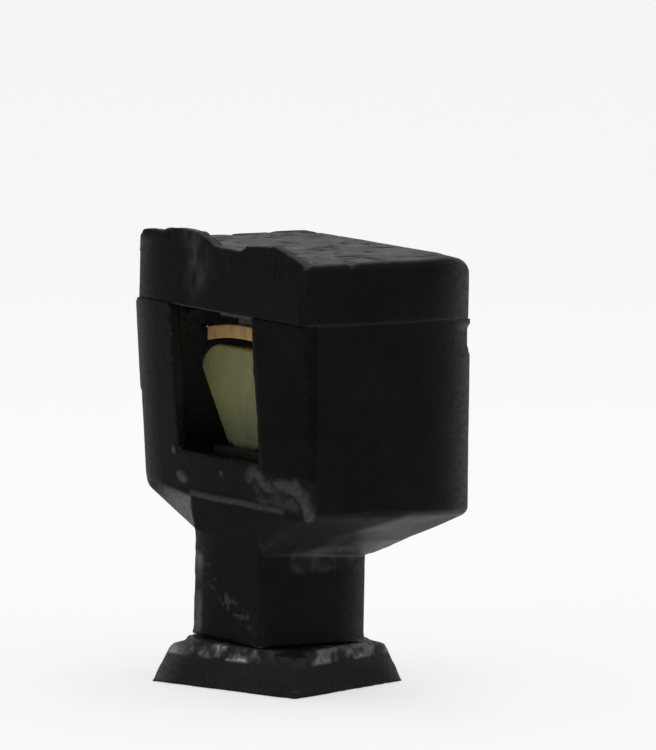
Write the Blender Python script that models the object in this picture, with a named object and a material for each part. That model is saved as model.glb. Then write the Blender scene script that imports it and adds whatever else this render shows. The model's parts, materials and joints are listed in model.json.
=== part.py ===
"""Illuminated signal lantern for a model railway.

A hollow lantern head on a short square post turns on a flared square foot.  The light guide in
the front window is lit by a small LED under the roof cap.  Its leads run down inside the post.

Units are metres and +Z is up.  The origin is on the turning axis, on the plane that the foot
stands on.  The foot is square with X and Y.  At rest the lantern is turned LANTERN_YAW from the
foot, and the pieces of the lantern are modelled square and turned by their parent empty.
"""
import math

import bmesh
import bpy
from mathutils import Matrix, Vector

MM = 0.001

# Overall sizes, in millimetres
ROOF_Z = 14.52
LANTERN_YAW = -20.0

# Foot
FOOT_HALF = 3.02
FOOT_BREAK_HALF = 2.60
FOOT_BREAK_Z = 1.26
FOOT_TOP_HALF = 2.06
FOOT_TOP_Z = 1.47
FOOT_CORNER_R = 0.12
FOOT_WEB_Z = 0.95
FOOT_CAVITY_R = 2.25
RECESS_HALF = 2.45
RECESS_Z = 0.26
RECESS_CORNER_R = 0.40
BASE_PLATE_Z = (0.03, 0.23)
BASE_HOLE_R = 1.20

# Bearing in the foot, as (inner radius, outer radius) and (bottom, top)
BUSH_R = (1.12, 1.47)
BUSH_Z = (0.97, 1.33)
WASHER_R = (1.13, 1.91)
WASHER_Z = (1.37, 1.48)

# Post and head of the lantern
POST_HALF = 2.11
POST_BOTTOM_Z = 1.50
POST_FLOOR_Z = 2.60
POST_CORNER_R = 0.20
SEAM_Z = 12.48
WALL = 0.45
HEAD_CORNER_R = 0.25
POST_INNER_R = 0.10
# Each ring is (half width, front y, back y, front z, back z).  The front wall leans forward
# as it rises, and the underside is lower at the back than at the front.
NECK_RING = (POST_HALF, -POST_HALF, POST_HALF, 4.90, 4.52)
LEDGE_RING = (5.12, -2.19, 4.00, 6.10, 6.02)
HEAD_LOW_RING = (5.22, -2.12, 4.08, 6.24, 6.16)
HEAD_TOP_RING = (5.10, -2.70, 4.10, SEAM_Z, SEAM_Z)
CAP_RING = (5.08, -2.62, 4.03, SEAM_Z, SEAM_Z)

# Roof cap
CAP_EDGE_R = 0.40
CAP_ROOF_WALL = 0.50
SKIRT_INSET = WALL + 0.04
SKIRT_CORNER_R = 0.22
SKIRT_WALL = 0.40
SKIRT_DEPTH = 0.45
BOSS_HALF = 1.5
BOSS_Y = (-0.9, 1.2)

# Uneven lip that stands up along the front edge of the roof, as (x, height) of its upper edge
LIP_EDGE = ((-4.88, 0.29), (-3.65, 0.34), (-3.35, 0.46), (-2.40, 0.53), (-1.45, 0.48),
            (-0.90, 0.32), (-0.40, 0.10), (1.10, 0.09), (1.50, 0.30), (3.20, 0.44),
            (3.70, 0.32), (4.30, 0.12), (4.60, 0.0))
LIP_Y = (-2.58, -2.14)

# Window in the front wall; the cap closes its top
WINDOW_X = -0.48
WINDOW_HALF = 2.48
WINDOW_SILL_Z = 7.58

# Turning parts on the axis
SPINDLE_R = 1.08
SPINDLE_BORE_R = 0.78
SPINDLE_BOTTOM_Z = 0.42
SPINDLE_TOP_Z = 2.55
GROOVE_R = 0.95
GROOVE_Z = (0.47, 0.57)
CLIP_OUTER_R = 1.42
CLIP_ARC = (-60.0, 240.0)
DISC_R = 2.10
DISC_Z = (0.62, 0.90)
PIN_CIRCLE_R = 1.78
PIN_R = 0.10
PIN_Z = (0.58, 1.23)
PIN_ANGLE = 100.0
TURN_RANGE = (-70.0, 20.0)
DOG_Z = (0.26, 0.90)
TONGUE_HALF = (0.75, 0.22)
TONGUE_BOTTOM_Z = 0.10

# Light guide and lamp
GUIDE_FRONT_Y = -1.17
GUIDE_BACK_Y = 0.10
GUIDE_FOOT_HALF = 1.0
GUIDE_FOOT_Z = 7.85
GUIDE_SHOULDER_HALF = 2.8
GUIDE_SHOULDER_WIDTH = 1.3
GUIDE_SHOULDER_Z = 10.25
GUIDE_CROWN_Z = 11.15
TENON_HALF = 0.70
TENON_Z = 7.20
BOARD_HALF = 1.7
BOARD_Y = (-1.15, 1.4)
BOARD_Z = (12.10, 12.44)
LED_HALF = 0.8
LED_Y = (-1.00, -0.20)
LED_BOTTOM_Z = 11.56
LEAF_HALF = 2.17
LEAF_SPLIT_X = 0.45
LEAF_HEIGHT = 0.46
LEAF_CROWN_Z = 11.92
LEAF_BOW_R = 10.0
LEAF_Y = (-1.32, -1.20)
LEAD_X = (0.23, 0.47)
LEAD_Y = (0.30, 0.42)
LEAD_BOTTOM_Z = 1.0
INSULATOR_HALF = 0.14
INSULATOR_Z = (2.75, 12.05)

GAP = 0.03          # running and seating gap between separate pieces
OVERSHOOT = 0.5     # how far a cutter passes a face that it opens
CORNER_STEPS = 4    # facets of one rounded corner
TURNED_STEPS = 40   # facets of a turned piece


def clear_scene():
    for obj in list(bpy.data.objects):
        bpy.data.objects.remove(obj, do_unlink=True)


def principled(name, color, roughness, metallic=0.0, alpha=1.0):
    material = bpy.data.materials.new(name)
    material.use_nodes = True
    shader = material.node_tree.nodes["Principled BSDF"]
    shader.inputs["Base Color"].default_value = (*color, 1.0)
    shader.inputs["Roughness"].default_value = roughness
    shader.inputs["Metallic"].default_value = metallic
    shader.inputs["Alpha"].default_value = alpha
    material.diffuse_color = (*color, alpha)
    return material


def add_object(name, bm, material=None, parent=None, smooth_deg=35.0):
    """Turn a bmesh made in millimetres into an object in metres."""
    bmesh.ops.recalc_face_normals(bm, faces=bm.faces)
    bmesh.ops.scale(bm, vec=(MM, MM, MM), verts=bm.verts)
    mesh = bpy.data.meshes.new(name)
    bm.to_mesh(mesh)
    bm.free()
    mesh.shade_smooth()
    mesh.set_sharp_from_angle(angle=math.radians(smooth_deg))
    obj = bpy.data.objects.new(name, mesh)
    bpy.context.scene.collection.objects.link(obj)
    if material:
        mesh.materials.append(material)
    if parent:
        obj.parent = parent
    return obj


def cutter(name, bm, parent=None):
    obj = add_object(name, bm, parent=parent)
    obj.hide_render = True
    obj.display_type = "WIRE"
    return obj


def boolean(target, other, operation="DIFFERENCE"):
    modifier = target.modifiers.new(f"{operation.lower()}_{other.name}", "BOOLEAN")
    modifier.operation = operation
    modifier.solver = "EXACT"
    modifier.object = other
    other.hide_render = True
    other.display_type = "WIRE"


def soft_edges(obj, width_mm, segments=2, angle_deg=30.0):
    modifier = obj.modifiers.new("edge_radius", "BEVEL")
    modifier.width = width_mm * MM
    modifier.segments = segments
    modifier.limit_method = "ANGLE"
    modifier.angle_limit = math.radians(angle_deg)


def section(half_x, y_low, y_high, radius, z):
    """Rounded rectangle at height z, counter-clockwise from above."""
    corners = (
        (half_x - radius, y_high - radius, 0.0),
        (-half_x + radius, y_high - radius, 90.0),
        (-half_x + radius, y_low + radius, 180.0),
        (half_x - radius, y_low + radius, 270.0),
    )
    points = []
    for cx, cy, start in corners:
        for step in range(CORNER_STEPS + 1):
            angle = math.radians(start + 90.0 * step / CORNER_STEPS)
            points.append((cx + radius * math.cos(angle), cy + radius * math.sin(angle), z))
    return points


def square_section(half, radius, z):
    return section(half, -half, half, radius, z)


def ring(shape, radius, inset=0.0, lift=0.0):
    """Rounded outline of one of the head's rings, moved inwards by inset and up by lift."""
    half_x, y_front, y_back, z_front, z_back = shape
    slope = (z_back - z_front) / (y_back - y_front)
    points = section(half_x - inset, y_front + inset, y_back - inset, radius, 0.0)
    return [(x, y, z_front + slope * (y - y_front) + lift) for x, y, _ in points]


def loft(sections):
    """Closed solid through rings that all have the same number of points."""
    bm = bmesh.new()
    rings = [[bm.verts.new(point) for point in ring] for ring in sections]
    count = len(rings[0])
    for low, high in zip(rings, rings[1:]):
        for i in range(count):
            j = (i + 1) % count
            bm.faces.new((low[i], low[j], high[j], high[i]))
    bm.faces.new(list(reversed(rings[0])))
    bm.faces.new(rings[-1])
    return bm


def turned(profile, steps=TURNED_STEPS):
    """Solid of revolution about Z from a closed loop of (radius, z) points off the axis."""
    bm = bmesh.new()
    rings = []
    for step in range(steps):
        angle = 2.0 * math.pi * step / steps
        ring = [bm.verts.new((r * math.cos(angle), r * math.sin(angle), z)) for r, z in profile]
        rings.append(ring)
    count = len(profile)
    for step in range(steps):
        here, there = rings[step], rings[(step + 1) % steps]
        for i in range(count):
            j = (i + 1) % count
            bm.faces.new((here[i], here[j], there[j], there[i]))
    return bm


def rod(profile, steps=TURNED_STEPS):
    """Solid turned piece: the (radius, z) points run up its outside, and flat caps close it."""
    rings = []
    for r, z in profile:
        ring = []
        for step in range(steps):
            angle = 2.0 * math.pi * step / steps
            ring.append((r * math.cos(angle), r * math.sin(angle), z))
        rings.append(ring)
    return loft(rings)


def arc_block(r_in, r_out, z_low, z_high, start_deg, end_deg, steps=24):
    """A ring segment with flat ends."""
    rings = []
    for step in range(steps + 1):
        angle = math.radians(start_deg + (end_deg - start_deg) * step / steps)
        c, s = math.cos(angle), math.sin(angle)
        rings.append([
            (r_in * c, r_in * s, z_low),
            (r_out * c, r_out * s, z_low),
            (r_out * c, r_out * s, z_high),
            (r_in * c, r_in * s, z_high),
        ])
    return loft(rings)


def block(low, high):
    bm = bmesh.new()
    bmesh.ops.create_cube(bm, size=1.0)
    size = [b - a for a, b in zip(low, high)]
    middle = [(a + b) / 2.0 for a, b in zip(low, high)]
    bmesh.ops.scale(bm, vec=size, verts=bm.verts)
    bmesh.ops.translate(bm, vec=middle, verts=bm.verts)
    return bm


def plate_xz(outline, y_low, y_high):
    """Flat plate with an (x, z) outline and its thickness along Y."""
    return loft([[(x, y_low, z) for x, z in outline], [(x, y_high, z) for x, z in outline]])


def make_foot(material):
    foot = add_object("foot", loft([
        square_section(FOOT_HALF, FOOT_CORNER_R, 0.0),
        square_section(FOOT_BREAK_HALF, FOOT_CORNER_R, FOOT_BREAK_Z),
        square_section(FOOT_TOP_HALF, FOOT_CORNER_R, FOOT_TOP_Z),
    ]), material)
    bush_seat = BUSH_R[1] + GAP
    washer_seat = WASHER_R[1] + GAP
    ledge_z = WASHER_Z[0] - GAP
    boolean(foot, cutter("cut_foot_cavity", rod([
        (FOOT_CAVITY_R, -OVERSHOOT),
        (FOOT_CAVITY_R, FOOT_WEB_Z),
        (bush_seat, FOOT_WEB_Z),
        (bush_seat, ledge_z),
        (washer_seat, ledge_z),
        (washer_seat, FOOT_TOP_Z + OVERSHOOT),
    ])))
    boolean(foot, cutter("cut_foot_recess", loft([
        square_section(RECESS_HALF, RECESS_CORNER_R, -OVERSHOOT),
        square_section(RECESS_HALF, RECESS_CORNER_R, RECESS_Z),
    ])))
    boolean(foot, cutter("cut_pin_hole", pin(PIN_R + GAP, FOOT_WEB_Z - OVERSHOOT, PIN_Z[1] + GAP)))


def pin(radius, z_low, z_high):
    """Round pin at the stop pin's place on its circle round the turning axis."""
    angle = math.radians(PIN_ANGLE)
    place = Vector((PIN_CIRCLE_R * math.cos(angle), PIN_CIRCLE_R * math.sin(angle), 0.0))
    bm = rod([(radius, z_low), (radius, z_high)], steps=16)
    bmesh.ops.translate(bm, vec=place, verts=bm.verts)
    return bm


def make_base_plate(material):
    half = RECESS_HALF - GAP
    plate = add_object("base_plate", loft([
        square_section(half, RECESS_CORNER_R, z) for z in BASE_PLATE_Z
    ]), material)
    boolean(plate, cutter("cut_base_hole", rod([
        (BASE_HOLE_R, -OVERSHOOT),
        (BASE_HOLE_R, OVERSHOOT),
    ])))


def make_bearing(brass, steel):
    for name, radii, heights, material in (
            ("foot_bush", BUSH_R, BUSH_Z, brass),
            ("thrust_washer", WASHER_R, WASHER_Z, steel)):
        add_object(name, turned([
            (radii[0], heights[0]), (radii[1], heights[0]),
            (radii[1], heights[1]), (radii[0], heights[1]),
        ]), material)
    add_object("stop_pin", pin(PIN_R, *PIN_Z), steel)


def make_housing(material, parent):
    """Head, underside and post in one thin-walled moulding, open at the top."""
    post = (POST_HALF, -POST_HALF, POST_HALF, POST_BOTTOM_Z, POST_BOTTOM_Z)
    housing = add_object("lantern_housing", loft([
        ring(post, POST_CORNER_R),
        ring(NECK_RING, POST_CORNER_R),
        ring(LEDGE_RING, HEAD_CORNER_R),
        ring(HEAD_LOW_RING, HEAD_CORNER_R),
        ring(HEAD_TOP_RING, HEAD_CORNER_R),
    ]), material, parent)
    boolean(housing, cutter("cut_interior", loft([
        ring(post, POST_INNER_R, inset=WALL, lift=POST_FLOOR_Z - POST_BOTTOM_Z),
        ring(NECK_RING, POST_INNER_R, inset=WALL, lift=0.15),
        ring(HEAD_LOW_RING, HEAD_CORNER_R, inset=WALL, lift=0.20),
        ring(HEAD_TOP_RING, HEAD_CORNER_R, inset=WALL),
        ring(HEAD_TOP_RING, HEAD_CORNER_R, inset=WALL, lift=OVERSHOOT),
    ]), parent))
    boolean(housing, cutter("cut_spindle_seat", rod([
        (SPINDLE_R + 0.02, POST_BOTTOM_Z - OVERSHOOT),
        (SPINDLE_R + 0.02, POST_FLOOR_Z + OVERSHOOT),
    ]), parent))
    boolean(housing, cutter("cut_window", block(
        (WINDOW_X - WINDOW_HALF, HEAD_TOP_RING[1] - OVERSHOOT, WINDOW_SILL_Z),
        (WINDOW_X + WINDOW_HALF, HEAD_LOW_RING[1] + 2.0 * WALL, SEAM_Z + OVERSHOOT),
    ), parent))


def make_roof_cap(material, parent):
    """Lid with a rounded top edge, and a skirt inside the housing that is open at the window."""
    edge_steps = 3
    inside = SKIRT_INSET + SKIRT_WALL
    height = ROOF_Z - SEAM_Z
    sections = [
        ring(HEAD_TOP_RING, SKIRT_CORNER_R, inset=SKIRT_INSET, lift=-SKIRT_DEPTH),
        ring(HEAD_TOP_RING, SKIRT_CORNER_R, inset=SKIRT_INSET, lift=GAP),
        ring(CAP_RING, HEAD_CORNER_R, lift=GAP),
    ]
    for step in range(edge_steps + 1):
        angle = math.radians(90.0 * step / edge_steps)
        inset = CAP_EDGE_R * (1.0 - math.cos(angle))
        rise = height - CAP_EDGE_R * (1.0 - math.sin(angle))
        sections.append(ring(CAP_RING, HEAD_CORNER_R, inset=inset, lift=rise))
    cap = add_object("roof_cap", loft(sections), material, parent)
    boolean(cap, cutter("cut_cap_inside", loft([
        ring(HEAD_TOP_RING, SKIRT_CORNER_R, inset=inside, lift=-OVERSHOOT),
        ring(HEAD_TOP_RING, SKIRT_CORNER_R, inset=inside, lift=height - CAP_ROOF_WALL),
    ]), parent))
    boolean(cap, cutter("cut_cap_window", block(
        (WINDOW_X - WINDOW_HALF, HEAD_TOP_RING[1] - OVERSHOOT, SEAM_Z - OVERSHOOT),
        (WINDOW_X + WINDOW_HALF, HEAD_TOP_RING[1] + inside + 0.1, SEAM_Z + GAP),
    ), parent))
    boolean(cap, cutter("add_board_boss", block(
        (WINDOW_X - BOSS_HALF, BOSS_Y[0], BOARD_Z[1] + GAP),
        (WINDOW_X + BOSS_HALF, BOSS_Y[1], ROOF_Z - 0.5 * CAP_ROOF_WALL),
    ), parent), "UNION")
    lip_root_z = ROOF_Z - 0.30
    lip = [(x, ROOF_Z + rise) for x, rise in LIP_EDGE]
    lip += [(LIP_EDGE[-1][0], lip_root_z), (LIP_EDGE[0][0], lip_root_z)]
    boolean(cap, cutter("add_front_lip", plate_xz(lip, *LIP_Y), parent), "UNION")


def make_light_guide(material, parent):
    """Translucent guide: a narrow tenon, slanting sides, round shoulders and a flat crown."""
    outline = [
        (-TENON_HALF, TENON_Z),
        (TENON_HALF, TENON_Z),
        (TENON_HALF, GUIDE_FOOT_Z),
        (GUIDE_FOOT_HALF, GUIDE_FOOT_Z),
    ]
    steps = 6
    shoulder = []
    for step in range(steps + 1):
        angle = math.radians(90.0 * step / steps)
        shoulder.append((
            GUIDE_SHOULDER_HALF - GUIDE_SHOULDER_WIDTH * (1.0 - math.cos(angle)),
            GUIDE_SHOULDER_Z + (GUIDE_CROWN_Z - GUIDE_SHOULDER_Z) * math.sin(angle),
        ))
    outline += shoulder
    outline += [(-x, z) for x, z in reversed(shoulder)]
    outline += [(-GUIDE_FOOT_HALF, GUIDE_FOOT_Z), (-TENON_HALF, GUIDE_FOOT_Z)]
    outline = [(x + WINDOW_X, z) for x, z in outline]
    guide = add_object("light_guide", plate_xz(outline, GUIDE_FRONT_Y, GUIDE_BACK_Y),
                       material, parent)
    soft_edges(guide, 0.07, segments=2, angle_deg=50.0)


def make_guide_holder(material, parent):
    """Black block that fills the post and holds the guide's tenon; the leads pass behind it."""
    half = POST_HALF - WALL - GAP
    holder = add_object("guide_holder", block(
        (-half, -half, POST_FLOOR_Z + GAP), (half, half, GUIDE_FOOT_Z - GAP)), material, parent)
    boolean(holder, cutter("cut_tenon_slot", block(
        (WINDOW_X - TENON_HALF - GAP, GUIDE_FRONT_Y - GAP, TENON_Z - GAP),
        (WINDOW_X + TENON_HALF + GAP, GUIDE_BACK_Y + GAP, GUIDE_FOOT_Z + OVERSHOOT),
    ), parent))
    way_half = LEAD_X[1] + 0.13
    boolean(holder, cutter("cut_lead_way", block(
        (-way_half, LEAD_Y[0] - 0.08, POST_FLOOR_Z - OVERSHOOT),
        (way_half, LEAD_Y[1] + 0.10, GUIDE_FOOT_Z + OVERSHOOT),
    ), parent))


def bowed_strip(x_low, x_high, z_crown, height, bow_radius, steps=10):
    """Outline of a strip in XZ that is bowed upwards about x = 0."""
    lower, upper = [], []
    for step in range(steps + 1):
        x = x_low + (x_high - x_low) * step / steps
        drop = bow_radius - math.sqrt(bow_radius ** 2 - x ** 2)
        lower.append((x, z_crown - height - drop))
        upper.append((x, z_crown - drop))
    return lower + list(reversed(upper))


def make_lamp(materials, parent):
    """LED under its board, with its contact leaves and their solder stubs."""
    board = add_object("led_board", block(
        (WINDOW_X - BOARD_HALF, BOARD_Y[0], BOARD_Z[0]),
        (WINDOW_X + BOARD_HALF, BOARD_Y[1], BOARD_Z[1]),
    ), materials["board"], parent)
    soft_edges(board, 0.03)
    body = add_object("led_body", block(
        (WINDOW_X - LED_HALF, LED_Y[0], LED_BOTTOM_Z),
        (WINDOW_X + LED_HALF, LED_Y[1], BOARD_Z[0] - GAP),
    ), materials["led"], parent)
    soft_edges(body, 0.05)

    # The lens is a shallow dome under the LED, as (half width, inset from the LED's sides, drop)
    lens = loft([
        section(half, LED_Y[0] + inset, LED_Y[1] - inset, 0.10, LED_BOTTOM_Z - drop)
        for half, inset, drop in ((0.50, 0.20, 0.18), (0.62, 0.08, 0.12), (0.65, 0.05, GAP))
    ])
    bmesh.ops.translate(lens, vec=(WINDOW_X, 0.0, 0.0), verts=lens.verts)
    add_object("led_lens", lens, materials["phosphor"], parent)

    for name, x_low, x_high in (
            ("contact_leaf_left", -LEAF_HALF, LEAF_SPLIT_X - GAP),
            ("contact_leaf_right", LEAF_SPLIT_X, LEAF_HALF)):
        outline = bowed_strip(x_low, x_high, LEAF_CROWN_Z, LEAF_HEIGHT, LEAF_BOW_R)
        outline = [(x + WINDOW_X, z) for x, z in outline]
        add_object(name, plate_xz(outline, *LEAF_Y), materials["copper"], parent)
    for name, side in (("solder_stub_left", -1.0), ("solder_stub_right", 1.0)):
        stub = rod([(0.03, 0.0), (0.07, 0.05), (0.07, 0.36), (0.03, 0.45)], steps=12)
        bmesh.ops.rotate(stub, cent=(0, 0, 0), verts=stub.verts,
                         matrix=Matrix.Rotation(math.radians(90.0 * side), 3, "Y"))
        place = (WINDOW_X + (LEAF_HALF + GAP) * side, sum(LEAF_Y) / 2.0,
                 LEAF_CROWN_Z - LEAF_HEIGHT / 2.0)
        bmesh.ops.translate(stub, vec=place, verts=stub.verts)
        add_object(name, stub, materials["solder"], parent)


def make_leads(materials, parent):
    """Two flat leads from the board down the post, with a film strip between them."""
    for name, side in (("lead_left", -1.0), ("lead_right", 1.0)):
        x_low, x_high = sorted((LEAD_X[0] * side, LEAD_X[1] * side))
        add_object(name, block(
            (x_low, LEAD_Y[0], LEAD_BOTTOM_Z), (x_high, LEAD_Y[1], BOARD_Z[0] - GAP),
        ), materials["copper"], parent)
    add_object("lead_insulator", block(
        (-INSULATOR_HALF, LEAD_Y[0] - 0.02, INSULATOR_Z[0]),
        (INSULATOR_HALF, LEAD_Y[1] + 0.02, INSULATOR_Z[1]),
    ), materials["film"], parent)


def make_drive(brass, steel, plastic, parent):
    """Spindle, drive disc with its stop slot, retaining clip and the dog that turns them."""
    add_object("spindle", turned([
        (SPINDLE_BORE_R, SPINDLE_BOTTOM_Z),
        (SPINDLE_R, SPINDLE_BOTTOM_Z),
        (SPINDLE_R, GROOVE_Z[0]),
        (GROOVE_R, GROOVE_Z[0]),
        (GROOVE_R, GROOVE_Z[1]),
        (SPINDLE_R, GROOVE_Z[1]),
        (SPINDLE_R, SPINDLE_TOP_Z),
        (SPINDLE_BORE_R, SPINDLE_TOP_Z),
    ]), brass, parent)
    disc_bore = SPINDLE_R + 0.02
    disc = add_object("drive_disc", turned([
        (disc_bore, DISC_Z[0]),
        (DISC_R, DISC_Z[0]),
        (DISC_R, DISC_Z[1]),
        (disc_bore, DISC_Z[1]),
    ]), plastic, parent)
    # When the lantern turns by q, the fixed pin moves by -q along the slot.
    clearance = math.degrees((PIN_R + GAP) / PIN_CIRCLE_R)
    pin_in_disc = PIN_ANGLE - LANTERN_YAW
    boolean(disc, cutter("cut_stop_slot", arc_block(
        PIN_CIRCLE_R - PIN_R - GAP, PIN_CIRCLE_R + PIN_R + GAP,
        DISC_Z[0] - OVERSHOOT, DISC_Z[1] + OVERSHOOT,
        pin_in_disc - TURN_RANGE[1] - clearance, pin_in_disc - TURN_RANGE[0] + clearance,
    ), parent))
    add_object("retaining_clip", arc_block(
        GROOVE_R + 0.02, CLIP_OUTER_R, GROOVE_Z[0] + 0.01, GROOVE_Z[1] - 0.01, *CLIP_ARC, steps=30,
    ), steel, parent)
    plug_r = SPINDLE_BORE_R - 0.02
    shoulder_z = SPINDLE_BOTTOM_Z - 0.02
    dog = add_object("drive_dog", rod([
        (SPINDLE_R, DOG_Z[0]),
        (SPINDLE_R, shoulder_z),
        (plug_r, shoulder_z),
        (plug_r, DOG_Z[1]),
    ]), steel, parent)
    half_x, half_y = TONGUE_HALF
    boolean(dog, cutter("add_drive_tongue", block(
        (-half_x, -half_y, TONGUE_BOTTOM_Z), (half_x, half_y, DOG_Z[0] + 0.07),
    ), parent), "UNION")


def main():
    clear_scene()
    black = principled("black_plastic", (0.010, 0.010, 0.011), 0.28)
    inner_black = principled("inner_black_plastic", (0.008, 0.008, 0.009), 0.55)
    brass = principled("brass", (0.66, 0.47, 0.20), 0.30, metallic=1.0)
    steel = principled("spring_steel", (0.52, 0.52, 0.54), 0.28, metallic=1.0)
    nylon = principled("natural_nylon", (0.62, 0.60, 0.54), 0.45)
    guide = principled("translucent_guide", (0.42, 0.42, 0.24), 0.22, alpha=0.9)
    lamp = {
        "board": principled("board_laminate", (0.16, 0.20, 0.12), 0.5),
        "led": principled("led_ceramic", (0.26, 0.27, 0.20), 0.4),
        "phosphor": principled("led_phosphor", (0.80, 0.52, 0.08), 0.35),
        "copper": principled("copper", (0.72, 0.38, 0.20), 0.30, metallic=1.0),
        "solder": principled("solder", (0.60, 0.60, 0.60), 0.30, metallic=1.0),
        "film": principled("insulating_film", (0.45, 0.24, 0.05), 0.35),
    }

    make_foot(black)
    make_base_plate(inner_black)
    make_bearing(brass, steel)

    lantern = bpy.data.objects.new("lantern_axis", None)
    bpy.context.scene.collection.objects.link(lantern)
    lantern.rotation_euler = (0.0, 0.0, math.radians(LANTERN_YAW))
    make_housing(black, lantern)
    make_roof_cap(black, lantern)
    make_light_guide(guide, lantern)
    make_guide_holder(inner_black, lantern)
    make_lamp(lamp, lantern)
    make_leads(lamp, lantern)
    make_drive(brass, steel, nylon, lantern)
    bpy.context.view_layer.update()


main()
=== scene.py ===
"""Looks of the model railway signal lantern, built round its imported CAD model.

Shapes are worked in millimetres and written back in metres.  The lantern frame is square with
the lantern head, which stands turned on its foot: X to its right, Y to its back, Z up.
"""
import json
import math

import bmesh
import bpy
import numpy as np
from mathutils import Matrix, Quaternion, Vector


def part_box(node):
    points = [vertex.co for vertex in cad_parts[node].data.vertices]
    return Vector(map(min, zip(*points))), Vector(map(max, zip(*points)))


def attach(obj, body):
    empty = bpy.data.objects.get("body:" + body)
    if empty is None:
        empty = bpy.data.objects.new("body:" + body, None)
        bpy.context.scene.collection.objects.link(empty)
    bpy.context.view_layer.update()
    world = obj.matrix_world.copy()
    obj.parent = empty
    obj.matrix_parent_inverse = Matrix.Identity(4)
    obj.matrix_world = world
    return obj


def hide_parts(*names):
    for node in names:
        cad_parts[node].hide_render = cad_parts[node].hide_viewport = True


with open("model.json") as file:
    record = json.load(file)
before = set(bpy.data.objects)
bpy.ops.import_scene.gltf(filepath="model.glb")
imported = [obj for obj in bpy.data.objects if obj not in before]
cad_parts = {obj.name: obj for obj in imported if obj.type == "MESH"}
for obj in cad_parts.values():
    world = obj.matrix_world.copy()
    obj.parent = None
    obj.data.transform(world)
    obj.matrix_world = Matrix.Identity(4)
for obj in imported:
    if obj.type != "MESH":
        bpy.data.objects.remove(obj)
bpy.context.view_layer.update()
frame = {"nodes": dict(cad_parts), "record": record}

MM = 0.001


def cad_corners(node):
    """Low and high corners of a CAD node's box, in millimetres."""
    return [[round(value / MM, 4) for value in corner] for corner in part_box(node)]


foot_high = cad_corners("foot")[1]
housing_low, housing_high = cad_corners("lantern_housing")

LANTERN_YAW = math.radians(-20.0)
PLAIN = (1.0, 1.0, 1.0)     # stretch of a texture that is the same in every direction
LONG = 9.0                  # size of noise that hardly changes along an axis

# Camera
VIEW_AZIMUTH = math.radians(36.4)
VIEW_ELEVATION = math.radians(6.55)
VIEW_ROLL = math.radians(1.17)
VIEW_DISTANCE = 322.0
VIEW_HEIGHT = 25.0      # height of the picture at the lantern
AIM_RIGHT = 1.48        # aim point, from the foot's middle, across the picture
AIM_UP = 10.23

# Heights and faces that the surface detail follows, in the lantern frame
FOOT_HALF = foot_high[0]
FOOT_TOP_Z = foot_high[2]
FOOT_SLANT = 0.333      # how much the foot's side draws in for each unit of height
POST_HALF = 2.11
POST_BOTTOM_Z = housing_low[2]
NECK_Z = 4.90
LEDGE_Z = 6.10
HEAD_BOTTOM_Z = 6.24
HEAD_HALF = 5.22
HEAD_TOP_HALF = 5.10
HEAD_Y = (-2.12, 4.08)
HEAD_TOP_Y = (-2.70, 4.10)
CAP_HALF = 5.08
CAP_Y = (-2.62, 4.03)
CAP_EDGE_R = 0.40
SEAM_Z = housing_high[2]
ROOF_Z = 14.52
SILL_Z = 7.58
WINDOW_X = -0.48
WINDOW_HALF = 2.48
JAMB_TOP_Z = 12.40
LIP_BACK_Y = -2.14

# Edge length of the even mesh that each piece is shaped from
HOUSING_VOXEL = 0.06
FOOT_VOXEL = 0.05
GUIDE_VOXEL = 0.045
LEAF_VOXEL = 0.03
SOLDER_VOXEL = 0.015

# Lines of damage, dust, painted highlights and a painted reflection on the front: points across and
# up
SCAR_RIM = ((1.35, 7.15), (1.75, 7.45), (2.10, 7.20), (2.45, 6.92), (3.30, 7.06), (4.30, 7.08),
            (4.72, 6.60), (5.08, 6.12))
SCAR_WEDGE = ((4.25, 7.10), (4.62, 6.75), (5.00, 6.20))
POST_STRIP = ((-1.72, 1.62), (-1.70, 4.05))
POST_NICKS = ((-1.75, 4.35), (-0.90, 3.45), (-0.15, 2.90), (1.70, 2.20))
ROOF_CLOUD = ((-1.75, 14.85), (-1.15, 14.35), (-1.45, 13.30))

# Blobs on the front wall: place across and up, half width and half height
BLOBS = ((-2.75, 6.72, 0.50, 0.24), (-0.28, 7.07, 0.16, 0.12), (-3.15, 7.55, 0.14, 0.16))

# Colours
BLACK = (0.0042, 0.0042, 0.0043)
# Pale tone of the dust mark: real dust in places, and painted highlights, painted reflections and
# painted rim glow in most
PALE_DUST_AND_LIGHT = (0.200, 0.200, 0.190)
# Bluish painted highlight, where the dust mark is strongest, on the foot's shoulders
BLUISH_PAINTED_HIGHLIGHT = (0.420, 0.430, 0.470)
SPECK = (0.10, 0.095, 0.085)
PAPER_WHITE = (1.0, 0.992, 0.996, 1.0)

# Floor
FLOOR_SIZE = 600.0
FLOOR_Z = -0.02         # just clear of the foot's underside
FLOOR_GREY = (0.86, 0.855, 0.857, 1.0)
FLOOR_GLOW = 0.62

# What the object sees round it: (height from straight down 0 to straight up 1, brightness)
ROOM_TONES = ((0.0, 0.80), (0.20, 0.45), (0.34, 0.09), (0.50, 0.065), (0.60, 0.09), (0.85, 0.20),
              (1.0, 0.80))
SHEET_INNER = math.radians(22.0)    # half angles of the sheet's full and faded parts
SHEET_OUTER = math.radians(50.0)
SHEET_TONE = 0.32


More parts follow.
